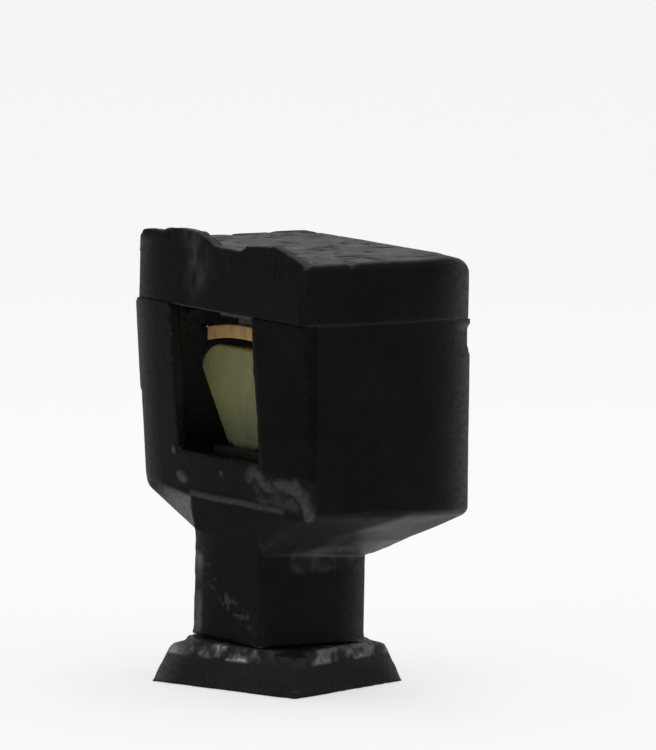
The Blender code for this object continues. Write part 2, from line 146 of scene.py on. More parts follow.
# ---------------------------------------------------------------- noise
def lattice_noise(points, size, seed):
    """Smooth value noise from -1 to 1 whose lumps are about size across."""
    cell = points / np.asarray(size, float)
    base = np.floor(cell).astype(np.int64)
    part = cell - base
    part = part * part * (3.0 - 2.0 * part)
    total = np.zeros(len(points))
    for corner in np.ndindex(2, 2, 2):
        key = base + np.array(corner)
        mixed = key[:, 0] * 73856093 ^ key[:, 1] * 19349663 ^ key[:, 2] * 83492791 ^ seed * 2654435
        mixed = ((mixed ^ (mixed >> 13)) * 1274126177) & 0x7FFFFFFF
        mixed = (mixed ^ (mixed >> 15)) & 0xFFFF
        weight = np.prod(np.where(np.array(corner) == 1, part, 1.0 - part), axis=1)
        total += weight * (mixed / 32767.5 - 1.0)
    return total


def layered_noise(points, size, seed, octaves=3):
    """Noise about -1 to 1 with finer layers on top of the coarse one."""
    total = np.zeros(len(points))
    scale, gain = np.asarray(size, float), 1.0
    for octave in range(octaves):
        total += gain * lattice_noise(points, scale, seed + 17 * octave)
        scale, gain = scale / 2.1, gain * 0.5
    return total / 1.75


def ridged_noise(points, size, seed, octaves=3):
    """Noise from 0 to 1 with narrow creases at the top of its range."""
    total = np.zeros(len(points))
    scale, gain = np.asarray(size, float), 1.0
    for octave in range(octaves):
        total += gain * (1.0 - np.abs(lattice_noise(points, scale, seed + 31 * octave)))
        scale, gain = scale / 2.0, gain * 0.5
    return total / 1.75


def ramp(low, high, value):
    """0 below low, 1 above high, and smooth between; low may be the larger."""
    t = np.clip((value - low) / (high - low), 0.0, 1.0)
    return t * t * (3.0 - 2.0 * t)


def band(low, high, soft, value):
    """1 between low and high, falling to 0 over soft on either side."""
    return ramp(low - soft, low, value) * ramp(high + soft, high, value)


def stroke(across, up, route, half_width):
    """1 along a line through the route's points on a flat face, falling to 0 at half_width."""
    nearest = np.full(len(across), np.inf)
    for (x0, z0), (x1, z1) in zip(route, route[1:]):
        run_x, run_z = x1 - x0, z1 - z0
        share = ((across - x0) * run_x + (up - z0) * run_z) / (run_x ** 2 + run_z ** 2)
        share = np.clip(share, 0.0, 1.0)
        away = np.hypot(across - x0 - share * run_x, up - z0 - share * run_z)
        nearest = np.minimum(nearest, away)
    return ramp(half_width, 0.25 * half_width, nearest)


def painted_rim_glow(x, y, half, y_front, y_back, reach):
    """Painted rim glow: pale colour that thins out from the upright corners of a box, apart from its
    front right one.
    """
    side = half - np.abs(x)
    to_back = np.maximum(side, y_back - y)
    to_front_left = np.where(x < 0.0, np.maximum(side, y - y_front), np.inf)
    return np.exp(-np.maximum(np.minimum(to_back, to_front_left), 0.0) / reach)


# ---------------------------------------------------------------- meshes
class Skin:
    """An evenly remeshed copy of a CAD node, shaped as an array of points in millimetres.

    Its marks are values from 0 to 1 at the points, which the materials read.
    """

    def __init__(self, node, voxel, yaw=0.0):
        self.node = node
        self.marks = {}
        self.turn = np.array(Matrix.Rotation(-yaw, 3, "Z"))
        source = frame["nodes"][node].data.copy()
        source.transform(Matrix.Scale(1.0 / MM, 4))
        welded = bmesh.new()
        welded.from_mesh(source)
        bmesh.ops.remove_doubles(welded, verts=welded.verts, dist=0.0005)
        welded.to_mesh(source)
        welded.free()
        holder = bpy.data.objects.new("skin_source", source)
        bpy.context.scene.collection.objects.link(holder)
        even = holder.modifiers.new("even", "REMESH")
        even.mode = "VOXEL"
        even.voxel_size = voxel
        graph = bpy.context.evaluated_depsgraph_get()
        self.mesh = bpy.data.meshes.new_from_object(holder.evaluated_get(graph))
        bpy.data.objects.remove(holder)
        bpy.data.meshes.remove(source)
        count = len(self.mesh.vertices)
        flat = np.zeros(count * 3)
        self.mesh.vertices.foreach_get("co", flat)
        self.points = flat.reshape(-1, 3) @ self.turn.T
        pairs = np.zeros(len(self.mesh.edges) * 2, np.int64)
        self.mesh.edges.foreach_get("vertices", pairs)
        self.pairs = pairs.reshape(-1, 2)
        self.degree = np.bincount(self.pairs.ravel(), minlength=count)[:, None]

    def averaged(self, values):
        """The mean of each point's neighbours."""
        total = np.zeros_like(values)
        first, second = self.pairs.T
        for axis in range(values.shape[1]):
            total[:, axis] += np.bincount(first, values[second, axis], len(values))
            total[:, axis] += np.bincount(second, values[first, axis], len(values))
        return total / self.degree

    def smoothed(self, rounds, share=0.5, weight=1.0):
        """The points after rounds of drawing each one towards its neighbours' mean."""
        points = self.points.copy()
        for _ in range(rounds):
            points += share * weight * (self.averaged(points) - points)
        return points

    def smooth(self, rounds, share=0.5, weight=1.0):
        self.points = self.smoothed(rounds, share, weight)

    def normals(self):
        self.write(1.0)
        flat = np.zeros(len(self.points) * 3)
        self.mesh.vertices.foreach_get("normal", flat)
        return flat.reshape(-1, 3) @ self.turn.T

    def push(self, distance):
        """Moves each point outwards along its normal."""
        self.points += self.normals() * np.asarray(distance)[:, None]

    def edges(self, rounds=10, full=0.03):
        """0 on flat stretches and up to 1 on outside edges."""
        rise = self.points - self.smoothed(rounds)
        return np.clip(np.sum(rise * self.normals(), axis=1) / full, 0.0, 1.0)

    def mark(self, name, values):
        """Raises the mark to values where they are above it."""
        self.marks[name] = np.maximum(self.marks.get(name, 0.0), np.clip(values, 0.0, 1.0))

    def write(self, scale):
        """Puts the points back in the mesh, turned back to the CAD's frame."""
        flat = (self.points @ self.turn * scale).astype(np.float32)
        self.mesh.vertices.foreach_set("co", flat.ravel())
        self.mesh.update()

    def finish(self, name, body, material):
        self.write(MM)
        for mark, values in self.marks.items():
            layer = self.mesh.attributes.new(mark, "FLOAT", "POINT")
            layer.data.foreach_set("value", values.astype(np.float32))
        self.mesh.shade_smooth()
        self.mesh.materials.clear()
        self.mesh.materials.append(material)
        self.mesh.name = name
        piece = bpy.data.objects.new(name, self.mesh)
        bpy.context.scene.collection.objects.link(piece)
        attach(piece, body)
        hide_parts(self.node)
        return piece


# ---------------------------------------------------------------- materials
class Look:
    """A procedural material on a Principled shader, with its coordinates in millimetres."""

    def __init__(self, name, **settings):
        self.material = bpy.data.materials.new(name)
        self.material.use_nodes = True
        self.nodes = self.material.node_tree.nodes
        self.links = self.material.node_tree.links
        self.shader = self.nodes["Principled BSDF"]
        for socket, value in settings.items():
            self.shader.inputs[socket.replace("_", " ")].default_value = value
        self.place = self.nodes.new("ShaderNodeTexCoord").outputs["Object"]

    def scaled(self, stretch):
        """Coordinates in millimetres, drawn out along each axis by its stretch."""
        node = self.nodes.new("ShaderNodeMapping")
        node.inputs["Scale"].default_value = [1.0 / (MM * s) for s in stretch]
        self.links.new(self.place, node.inputs["Vector"])
        return node.outputs["Vector"]

    def noise(self, size, detail=3.0, rough=0.5, stretch=PLAIN, warp=0.0):
        """Noise from 0 to 1 whose lumps are size times the stretch across, in millimetres."""
        node = self.nodes.new("ShaderNodeTexNoise")
        node.inputs["Scale"].default_value = 1.0 / size
        node.inputs["Detail"].default_value = detail
        node.inputs["Roughness"].default_value = rough
        node.inputs["Distortion"].default_value = warp
        self.links.new(self.scaled(stretch), node.inputs["Vector"])
        return node.outputs["Fac"]

    def cells(self, size):
        """Distance from the middle of scattered cells, so low values are round specks."""
        node = self.nodes.new("ShaderNodeTexVoronoi")
        node.inputs["Scale"].default_value = 1.0 / size
        self.links.new(self.scaled(PLAIN), node.inputs["Vector"])
        return node.outputs["Distance"]

    def mark(self, name):
        """A mark that the piece's Skin carries."""
        node = self.nodes.new("ShaderNodeAttribute")
        node.attribute_name = name
        return node.outputs["Fac"]

    def remap(self, value, low, high, to_low=0.0, to_high=1.0):
        """to_low at low and to_high at high, with a smooth change between."""
        node = self.nodes.new("ShaderNodeMapRange")
        node.interpolation_type = "SMOOTHSTEP"
        for socket, number in zip(("From Min", "From Max", "To Min", "To Max"),
                                  (low, high, to_low, to_high)):
            node.inputs[socket].default_value = number
        self.links.new(value, node.inputs["Value"])
        return node.outputs["Result"]

    def maths(self, operation, first, second):
        node = self.nodes.new("ShaderNodeMath")
        node.operation = operation
        for socket, value in zip(node.inputs, (first, second)):
            if isinstance(value, (int, float)):
                socket.default_value = value
            else:
                self.links.new(value, socket)
        return node.outputs["Value"]

    def height(self, low, high):
        """0 at height low and 1 at height high, in millimetres."""
        node = self.nodes.new("ShaderNodeSeparateXYZ")
        self.links.new(self.place, node.inputs["Vector"])
        return self.remap(node.outputs["Z"], low * MM, high * MM)

    def mix(self, share, first, second):
        node = self.nodes.new("ShaderNodeMix")
        node.data_type = "RGBA"
        self.links.new(share, node.inputs["Factor"])
        for socket, color in (("A", first), ("B", second)):
            target = [s for s in node.inputs if s.name == socket and s.type == "RGBA"][0]
            if isinstance(color, tuple):
                target.default_value = (*color, 1.0)
            else:
                self.links.new(color, target)
        return [s for s in node.outputs if s.type == "RGBA"][0]

    def bump(self, height, depth, below=None):
        """depth is in millimetres."""
        node = self.nodes.new("ShaderNodeBump")
        node.inputs["Distance"].default_value = depth * MM
        self.links.new(height, node.inputs["Height"])
        if below:
            self.links.new(below, node.inputs["Normal"])
        return node.outputs["Normal"]

    def set(self, **sockets):
        """Links the shader's sockets and gives the finished material."""
        for socket, value in sockets.items():
            self.links.new(value, self.shader.inputs[socket.replace("_", " ")])
        return self.material


def moulded_black(name, worn_and_lit_tone, peel_depth):
    """Gloss black moulding: faint orange peel, specks, worn edges, rub marks, dust, painted
    highlights, reflections and rim glow, and painted shade.
    """
    look = Look(name, IOR=1.47)

    # Clouded black with pale specks
    cloud = look.remap(look.noise(2.4, detail=4.0, rough=0.6, warp=0.4), 0.35, 0.70)
    tint = look.mix(cloud, BLACK, tuple(c * 1.6 for c in BLACK))
    specks = look.remap(look.cells(0.42), 0.05, 0.02)
    specks = look.maths("MULTIPLY", specks, look.remap(look.noise(1.3), 0.56, 0.62))
    tint = look.mix(look.maths("MULTIPLY", specks, 0.5), tint, SPECK)

    # Worn edges and rubbed places, partly painted highlights, and dust and painted light, which turns
    # to a bluish painted highlight where it is strongest
    patch = look.remap(look.noise(0.55, detail=5.0, rough=0.65), 0.42, 0.66)
    chips = look.remap(look.noise(0.22, detail=4.0), 0.42, 0.66)
    wear_and_painted_light = look.maths("MULTIPLY", look.mark("edge"), look.maths("MULTIPLY", chips, 0.12))
    # Rub marks are partly painted highlights and painted reflections, in a lighter worn tone
    wear_and_painted_light = look.maths("MAXIMUM", wear_and_painted_light, look.maths("MULTIPLY", look.mark("rub_and_painted_light"), patch))
    color = look.mix(wear_and_painted_light, tint, worn_and_lit_tone)
    grain = look.remap(look.noise(0.14, detail=4.0, rough=0.6), 0.30, 0.62, 0.55, 1.0)
    dust_and_painted_light = look.maths("MULTIPLY", look.mark("dust_and_painted_light"), grain)
    bluish_highlight_share = look.remap(look.mark("dust_and_painted_light"), 0.86, 1.0)
    dust_and_light_tone = look.mix(bluish_highlight_share, PALE_DUST_AND_LIGHT, BLUISH_PAINTED_HIGHLIGHT)
    color = look.mix(dust_and_painted_light, color, dust_and_light_tone)

    # Wear, dust and painted light are duller, and painted shade hardly shines, because its gloss is
    # turned down to darken it
    gloss = look.remap(look.mark("painted_shade"), 0.0, 1.0, 0.5, 0.08)
    rough = look.remap(look.noise(0.9, detail=6.0, rough=0.7), 0.3, 0.7, 0.22, 0.34)
    dulled = look.maths("MAXIMUM", look.maths("MAXIMUM", wear_and_painted_light, dust_and_painted_light), look.mark("painted_shade"))
    dulled = look.maths("MULTIPLY", dulled, 0.30)
    rough = look.maths("ADD", rough, dulled)

    # Orange peel, grain and fine level scratches
    peel = look.bump(look.noise(0.16, detail=2.0), peel_depth)
    fine = look.bump(look.noise(0.05, detail=3.0, rough=0.6), 0.0005, peel)
    lines = look.noise(0.05, detail=2.0, stretch=(9.0, 9.0, 0.9))
    scratch = look.bump(look.remap(lines, 0.60, 0.80), 0.0003, fine)
    return look.set(Base_Color=color, Roughness=rough, Normal=scratch, Specular_IOR_Level=gloss)


def matt_black(name):
    """Clouded matt black with a fine grain."""
    look = Look(name, IOR=1.45)
    cloud = look.remap(look.noise(0.8, detail=4.0), 0.35, 0.65)
    color = look.mix(cloud, (0.008, 0.008, 0.008), (0.014, 0.014, 0.013))
    rough = look.remap(look.noise(0.3, detail=4.0), 0.3, 0.7, 0.42, 0.62)
    normal = look.bump(look.noise(0.07, detail=3.0), 0.004)
    return look.set(Base_Color=color, Roughness=rough, Normal=normal)


def guide_plastic():
    """Translucent yellow-green plastic with flow lines inside, with painted light and shade: paler
    towards the top, near the lamp, and darker towards the bottom.
    """
    look = Look("guide_plastic", IOR=1.49, Subsurface_Weight=0.45, Subsurface_Scale=MM * 0.8,
                Subsurface_Radius=(1.0, 0.95, 0.45), Coat_Weight=0.35, Coat_Roughness=0.12)
    # Painted light and shade: the colour grows paler from the bottom towards the top
    rise = look.height(7.6, 10.0)
    cloud = look.remap(look.noise(0.9, detail=4.0, stretch=(1.0, 1.0, 2.2), warp=0.6), 0.3, 0.7)
    lit_top_tone = look.mix(cloud, (0.205, 0.197, 0.086), (0.245, 0.238, 0.108))
    shaded_bottom_tone = look.mix(cloud, (0.085, 0.100, 0.048), (0.115, 0.130, 0.068))
    fleck = look.remap(look.cells(0.30), 0.06, 0.02)
    color = look.mix(rise, shaded_bottom_tone, lit_top_tone)
    color = look.mix(look.maths("MULTIPLY", fleck, 0.4), color, (0.16, 0.16, 0.10))
    rough = look.remap(look.noise(0.35, detail=5.0), 0.3, 0.7, 0.16, 0.34)
    wave = look.bump(look.noise(0.5, detail=2.0), 0.010)
    normal = look.bump(look.noise(0.09, detail=3.0), 0.0025, wave)
    return look.set(Base_Color=color, Roughness=rough, Normal=normal)


def metal(name, bright, dull, rough, stretch, grain=0.0015, metallic=1.0):
    """Bare metal with drawn or turned lines along the stretched axis and dull patches."""
    look = Look(name, Metallic=metallic)
    patch = look.remap(look.noise(0.45, detail=5.0, rough=0.65), 0.42, 0.68)
    color = look.mix(patch, bright, dull)
    lines = look.noise(0.035, detail=3.0, stretch=stretch)
    roughness = look.remap(lines, 0.3, 0.7, *rough)
    normal = look.bump(lines, grain)
    return look.set(Base_Color=color, Roughness=roughness, Normal=normal)


def dull_solid(name, light, dark, size, rough, depth, stretch=PLAIN):
    """Plain non-metal with mottled colour and a fine grain."""
    look = Look(name, IOR=1.5)
    cloud = look.remap(look.noise(size, detail=5.0, rough=0.6, stretch=stretch), 0.35, 0.65)
    color = look.mix(cloud, light, dark)
    roughness = look.remap(look.noise(size * 0.7, detail=3.0), 0.3, 0.7, *rough)
    normal = look.bump(look.noise(size * 0.25, detail=3.0, stretch=stretch), depth)
    return look.set(Base_Color=color, Roughness=roughness, Normal=normal)


def board_laminate():
    """Glass-fibre board: a woven grain under green-grey resin."""
    look = Look("board_laminate", IOR=1.52, Coat_Weight=0.2, Coat_Roughness=0.2)
    warp = look.noise(0.10, detail=1.0, stretch=(5.0, 1.0, 1.0))
    weft = look.noise(0.10, detail=1.0, stretch=(1.0, 5.0, 1.0))
    weave = look.maths("MAXIMUM", warp, weft)
    color = look.mix(look.remap(weave, 0.45, 0.65), (0.045, 0.055, 0.035), (0.10, 0.12, 0.075))
    rough = look.remap(look.noise(0.4), 0.3, 0.7, 0.3, 0.5)
    return look.set(Base_Color=color, Roughness=rough, Normal=look.bump(weave, 0.006))


# ---------------------------------------------------------------- pieces
def flare_post(skin, reach, outside):
    """The post flares a little where it meets the foot, and its rim almost touches it."""
    x, y, z = skin.points.T
    rim = ramp(POST_BOTTOM_Z + 0.12, POST_BOTTOM_Z, z) * ramp(POST_HALF - 0.2, POST_HALF - 0.1, reach)
    skin.points[:, 2] -= 0.02 * rim
    flare = 0.045 * ramp(POST_BOTTOM_Z + 0.35, POST_BOTTOM_Z, z) ** 2 * outside
    skin.points[:, 0] += np.sign(x) * flare * ramp(1.6, 2.1, np.abs(x))
    skin.points[:, 1] += np.sign(y) * flare * ramp(1.6, 2.1, np.abs(y))


def sag_underside(skin, reach):
    """The flanks of the underside sag a little at the back, and the right one starts lower."""
    x, y, z = skin.points.T
    below = ramp(0.3, 0.8, -skin.normals()[:, 2]) * ramp(2.2, 3.2, reach)
    below *= ramp(NECK_Z - 0.5, NECK_Z, z)
    along = np.clip((np.abs(x) - 2.1) / 3.1, 0.0, 1.0)
    sag = np.sin(np.pi * along) * ramp(0.0, 2.0, y)
    low_neck = ramp(1.9, 2.1, x) * ramp(3.6, 2.2, x) * band(NECK_Z - 0.2, NECK_Z + 0.5, 0.5, z)
    skin.points[:, 2] -= 0.11 * sag * below + 0.20 * low_neck


def soften_left_flank(skin):
    """The slanting left flank of the front wall is softened towards its outer edge."""
    x, y, z = skin.points.T
    slope = (LEDGE_Z - NECK_Z) / (HEAD_HALF - POST_HALF)
    flank_z = NECK_Z + slope * (-x - POST_HALF)
    inside_edge = (z - flank_z) * math.cos(math.atan(slope))
    flank = band(-5.0, -2.2, 0.25, x) * ramp(0.75, 0.0, inside_edge) * ramp(-1.2, -2.0, y)
    skin.points[:, 1] += 0.10 * flank * ramp(HEAD_BOTTOM_Z + 0.5, HEAD_BOTTOM_Z - 0.1, z)


def raise_bead(skin, front):
    """A bead runs along the bottom edge of the front wall, with a painted highlight along it."""
    x, _, z = skin.points.T
    wander = 0.03 * lattice_noise(skin.points, (0.7, LONG, LONG), 3)
    along = band(-2.15, 3.40, 0.2, x) * front
    bead = band(LEDGE_Z + 0.08, LEDGE_Z + 0.12, 0.10, z - wander) * along
    uneven = 0.75 + 0.25 * lattice_noise(skin.points, (0.35, LONG, LONG), 4)
    skin.points[:, 1] -= 0.080 * bead * uneven
    skin.mark("dust_and_painted_light", 0.30 * bead)


def scar_corner(skin, front):
    """The lower right corner of the front wall is scarred, under a raised rim."""
    x, _, z = skin.points.T
    rim = stroke(x, z, SCAR_RIM, 0.30) * front
    rim *= ramp(-0.75, 0.55, layered_noise(skin.points, (0.42, LONG, 0.30), 12, 3))
    wedge = stroke(x, z, SCAR_WEDGE, 0.42) * front
    in_scar = ramp(1.4, 2.2, x) * ramp(5.2, 4.8, x) * band(6.40, 7.00, 0.25, z) * front
    torn = ridged_noise(skin.points, (0.9, 0.9, 0.6), 11) - 0.55
    mottled = ramp(-0.5, 0.7, layered_noise(skin.points, (0.55, LONG, 0.40), 13, 3))
    skin.points[:, 1] -= 0.05 * rim + 0.04 * wedge + 0.10 * torn * in_scar
    # Painted highlights: the pale rub and dust on the torn scar, the rim and the wedge
    skin.mark("rub_and_painted_light", in_scar * torn)
    skin.mark("dust_and_painted_light", 0.30 * rim)
    skin.mark("dust_and_painted_light", 0.36 * wedge * (0.5 + 0.5 * mottled))
    skin.mark("dust_and_painted_light", 0.14 * in_scar * mottled)


def raise_blobs(skin, front):
    """Small blobs stand on the front wall, with painted highlights on them."""
    x, _, z = skin.points.T
    blobs = np.zeros(len(x))
    rough_edge = 1.0 + 0.25 * lattice_noise(skin.points, 0.18, 21)
    for blob_x, blob_z, half_width, half_height in BLOBS:
        away = np.hypot((x - blob_x) / half_width, (z - blob_z) / half_height)
        blobs = np.maximum(blobs, ramp(1.0, 0.25, away * rough_edge) * front)
    skin.points[:, 1] -= 0.07 * blobs
    skin.mark("dust_and_painted_light", 0.34 * blobs)


def uneven_corners(skin, free):
    """The left wall stands proud above a step, and the back right corner has a hollow high up."""
    x, y, z = skin.points.T
    proud = ramp(9.32, 9.40, z + 0.05 * lattice_noise(skin.points, 0.2, 33)) * ramp(-4.2, -4.75, x)
    skin.points[:, 0] -= 0.07 * proud * free
    hollow = band(11.55, 12.20, 0.12, z) * ramp(4.4, 4.8, x) * ramp(3.2, 3.9, y)
    skin.points[:, 0] -= 0.09 * hollow
    skin.points[:, 1] -= 0.05 * hollow


def grain_window(skin, at_seam):
    """The jambs and the sill of the window are grainy."""
    x, y, z = skin.points.T
    jamb = band(-WINDOW_HALF - 0.45, WINDOW_HALF + 0.45, 0.1, x - WINDOW_X)
    jamb *= ramp(SILL_Z - 0.6, SILL_Z, z) * ramp(-1.5, -1.8, y) * (1.0 - at_seam)
    skin.push(0.016 * jamb * layered_noise(skin.points, 0.17, 31))


def raise_lumps(skin):
    """Lumps on the post's right face, just under the slanting flank, with a painted reflection on
    them.
    """
    x, y, z = skin.points.T
    lumps = ramp(1.7, 2.0, x) * band(4.05, 4.70, 0.25, z) * ramp(-1.1, -0.7, y)
    skin.push(0.035 * lumps * layered_noise(skin.points, 0.5, 41))
    skin.mark("rub_and_painted_light", 0.30 * lumps)
    skin.mark("dust_and_painted_light", 0.06 * lumps)


def chip_housing(skin, free):
    """Chips along the outside edges, with smaller ones on the post.  Gives the edges."""
    x, _, z = skin.points.T
    edge = skin.edges() * free
    bite = ramp(0.25, 0.62, lattice_noise(skin.points, 0.42, 71)) * ramp(0.3, 0.8, edge)
    post_edge = ramp(POST_HALF + 0.5, POST_HALF, np.abs(x)) * ramp(NECK_Z, NECK_Z - 0.3, z)
    small = ramp(0.05, 0.55, lattice_noise(skin.points, 0.20, 72)) * ramp(0.3, 0.8, edge) * post_edge
    skin.push(-0.055 * bite - 0.05 * small)
    return edge


def dust_and_painted_light_housing(skin, outside, front):
    """Painted rim glow at the corners and low at the left, a painted reflection in a strip down the
    post's front, dust inside the head and in nicks on the post, and a film.
    """
    x, y, z = skin.points.T
    rise = np.clip((z - HEAD_BOTTOM_Z) / (SEAM_Z - HEAD_BOTTOM_Z), 0.0, 1.0)
    # Painted rim glow at the silhouette corners of the head and post
    head_glow = painted_rim_glow(x, y, HEAD_HALF + rise * (HEAD_TOP_HALF - HEAD_HALF),
                              HEAD_Y[0] + rise * (HEAD_TOP_Y[0] - HEAD_Y[0]),
                              HEAD_Y[1] + rise * (HEAD_TOP_Y[1] - HEAD_Y[1]), 0.40)
    post_glow = painted_rim_glow(x, y, POST_HALF, -POST_HALF, POST_HALF, 0.34)
    rim_glow = np.where(z > HEAD_BOTTOM_Z - 0.3, head_glow, 0.0)
    rim_glow = np.maximum(rim_glow, np.where(z < NECK_Z + 0.1, 0.7 * post_glow, 0.0))
    skin.mark("dust_and_painted_light", 0.85 * rim_glow * outside)

    inner = ramp(0.30, 0.45, HEAD_HALF - np.abs(x)) * ramp(0.30, 0.45, y - HEAD_Y[0])
    inner *= ramp(0.30, 0.45, HEAD_Y[1] - y) * ramp(HEAD_BOTTOM_Z + 0.1, HEAD_BOTTOM_Z + 0.5, z)
    skin.mark("dust_and_painted_light", 0.45 * inner)

    # Painted rim glow along the left of the underside
    low_left = ramp(0.05, -0.10, z - LEDGE_Z + 0.1 * (x + 2.2)) * ramp(-2.05, -2.25, x)
    low_left *= ramp(-1.2, -1.8, y) * ramp(-5.4, -2.6, x) * ramp(NECK_Z - 0.3, NECK_Z, z)
    skin.mark("dust_and_painted_light", 0.85 * low_left)

    # Painted reflection: a pale strip down the left edge of the post's front
    strip = stroke(x, z, POST_STRIP, 0.40) * front
    strip *= 0.55 + 0.45 * lattice_noise(skin.points, (LONG, LONG, 0.45), 82)
    skin.mark("dust_and_painted_light", 0.85 * strip)
    nicks = stroke(x, z, POST_NICKS, 0.34) * front
    nicks *= ramp(0.10, 0.5, lattice_noise(skin.points, 0.15, 81))
    skin.mark("dust_and_painted_light", 0.22 * nicks)
    skin.mark("dust_and_painted_light", 0.04 * front * ramp(-1.0, -5.0, x))


def painted_shade_housing(skin, edge, front):
    """Painted shade: the gloss is dulled on the front of the right flank, on the edges and beside the
    window.

    Only the back of the right flank shines, and the rest of it is dulled to paint shade. A little
    pale colour lifts that painted shade, and more paints a highlight on the lit part of the flank
    near the post.
    """
    x, y, z = skin.points.T
    downward = ramp(0.02, 0.25, -skin.normals()[:, 2])
    flank = downward * ramp(POST_HALF - 0.2, POST_HALF, x) * ramp(NECK_Z - 0.5, NECK_Z - 0.2, z)
    flank *= ramp(HEAD_BOTTOM_Z + 0.7, HEAD_BOTTOM_Z + 0.4, z)
    shaded = ramp(0.60, -0.40, y - 0.62 * (x - 2.73) + 0.08)
    right_jamb = front * ramp(1.9, 2.4, x) * band(SILL_Z, JAMB_TOP_Z, 0.5, z)
    skin.mark("painted_shade", np.maximum.reduce([flank * shaded, 0.7 * edge, 0.8 * right_jamb]))
    skin.mark("dust_and_painted_light", 0.05 * flank * shaded)
    skin.mark("dust_and_painted_light", 0.25 * flank * (1.0 - shaded) * ramp(2.9, 2.3, x))


def shape_housing(material):
    """Head and post: rounded edges, a bead along the front, damaged corners and chips."""
    skin = Skin("lantern_housing", HOUSING_VOXEL, LANTERN_YAW)
    z = skin.points[:, 2]
    skin.smooth(4, weight=ramp(0.03, 0.22, np.abs(z - SEAM_Z))[:, None])
    x, y, z = skin.points.T
    reach = np.maximum(np.abs(x), np.abs(y + 0.2 * (z > NECK_Z)))
    outside = ramp(POST_HALF - 0.30, POST_HALF - 0.15, reach)
    running_face = ramp(POST_BOTTOM_Z + 0.14, POST_BOTTOM_Z + 0.07, z)
    at_seam = ramp(0.14, 0.04, np.abs(z - SEAM_Z))
    free = outside * (1.0 - running_face) * (1.0 - at_seam)
    front = ramp(-1.95, -2.10, y)

    flare_post(skin, reach, outside)
    sag_underside(skin, reach)
    soften_left_flank(skin)
    raise_bead(skin, front)
    scar_corner(skin, front)
    raise_blobs(skin, front)
    uneven_corners(skin, free)
    grain_window(skin, at_seam)
    raise_lumps(skin)
    skin.push(free * (0.016 * layered_noise(skin.points, 2.6, 51, 2)
                      + 0.005 * layered_noise(skin.points, 0.45, 61, 2)))
    edge = chip_housing(skin, free)
    skin.smooth(1, 0.35, weight=(1.0 - at_seam)[:, None])
    flat = ramp(0.20, 0.05, skin.edges()) * free * (1.0 - front)
    skin.smooth(6, weight=flat[:, None])

    skin.mark("edge", edge)
    dust_and_painted_light_housing(skin, outside, front)
    painted_shade_housing(skin, edge, front)
    return skin.finish("housing_shell", "lantern", material)


def tighten_top_edge(skin):
    """The rounded top edge is tight at the left and the back, and softest at the back right."""
    x, y, z = skin.points.T
    near_top = ramp(ROOF_Z - CAP_EDGE_R - 0.05, ROOF_Z - CAP_EDGE_R + 0.10, z)
    soft = ramp(2.4, 3.8, y) * ramp(3.0, 4.6, x)
    for axis, side, face in ((0, -1.0, CAP_HALF), (0, 1.0, CAP_HALF), (1, 1.0, CAP_Y[1])):
        inset = face - side * skin.points[:, axis]
        reached = np.clip(inset / CAP_EDGE_R, 0.0, 1.0)
        reached *= np.clip((4.0 - inset / CAP_EDGE_R) / 3.0, 0.0, 1.0)
        skin.points[:, axis] += side * near_top * reached * CAP_EDGE_R * (0.6 - 0.7 * soft)
    skin.points[:, 2] -= 0.20 * ramp(-4.72, -5.06, x) * near_top


def close_rim(skin):
    """The rim closes down on the housing, so that only a fine line shows between them."""
    x, y, z = skin.points.T
    reach = np.maximum(np.abs(x) - 4.60, np.maximum(-y - 2.25, y - 3.75))
    skin.points[:, 2] -= 0.055 * ramp(0.05, 0.15, reach) * ramp(SEAM_Z + 0.25, SEAM_Z + 0.03, z)


def crumple_top(skin, top):
    """The top is a crumpled skin: broad swells with narrow creases between them, and one pit."""
    x, y, _ = skin.points.T
    swell = layered_noise(skin.points, (1.5, 1.5, LONG), 101, 2)
    crease = ramp(0.70, 0.92, ridged_noise(skin.points, (0.70, 1.10, LONG), 111, 2))
    fine = layered_noise(skin.points, (0.33, 0.50, LONG), 115, 2)
    skin.points[:, 2] += top * (0.045 * swell - 0.09 * crease + 0.016 * fine)
    pit = ramp(0.42, 0.12, np.hypot(x + 4.0, y - 3.55))
    skin.points[:, 2] -= 0.10 * pit


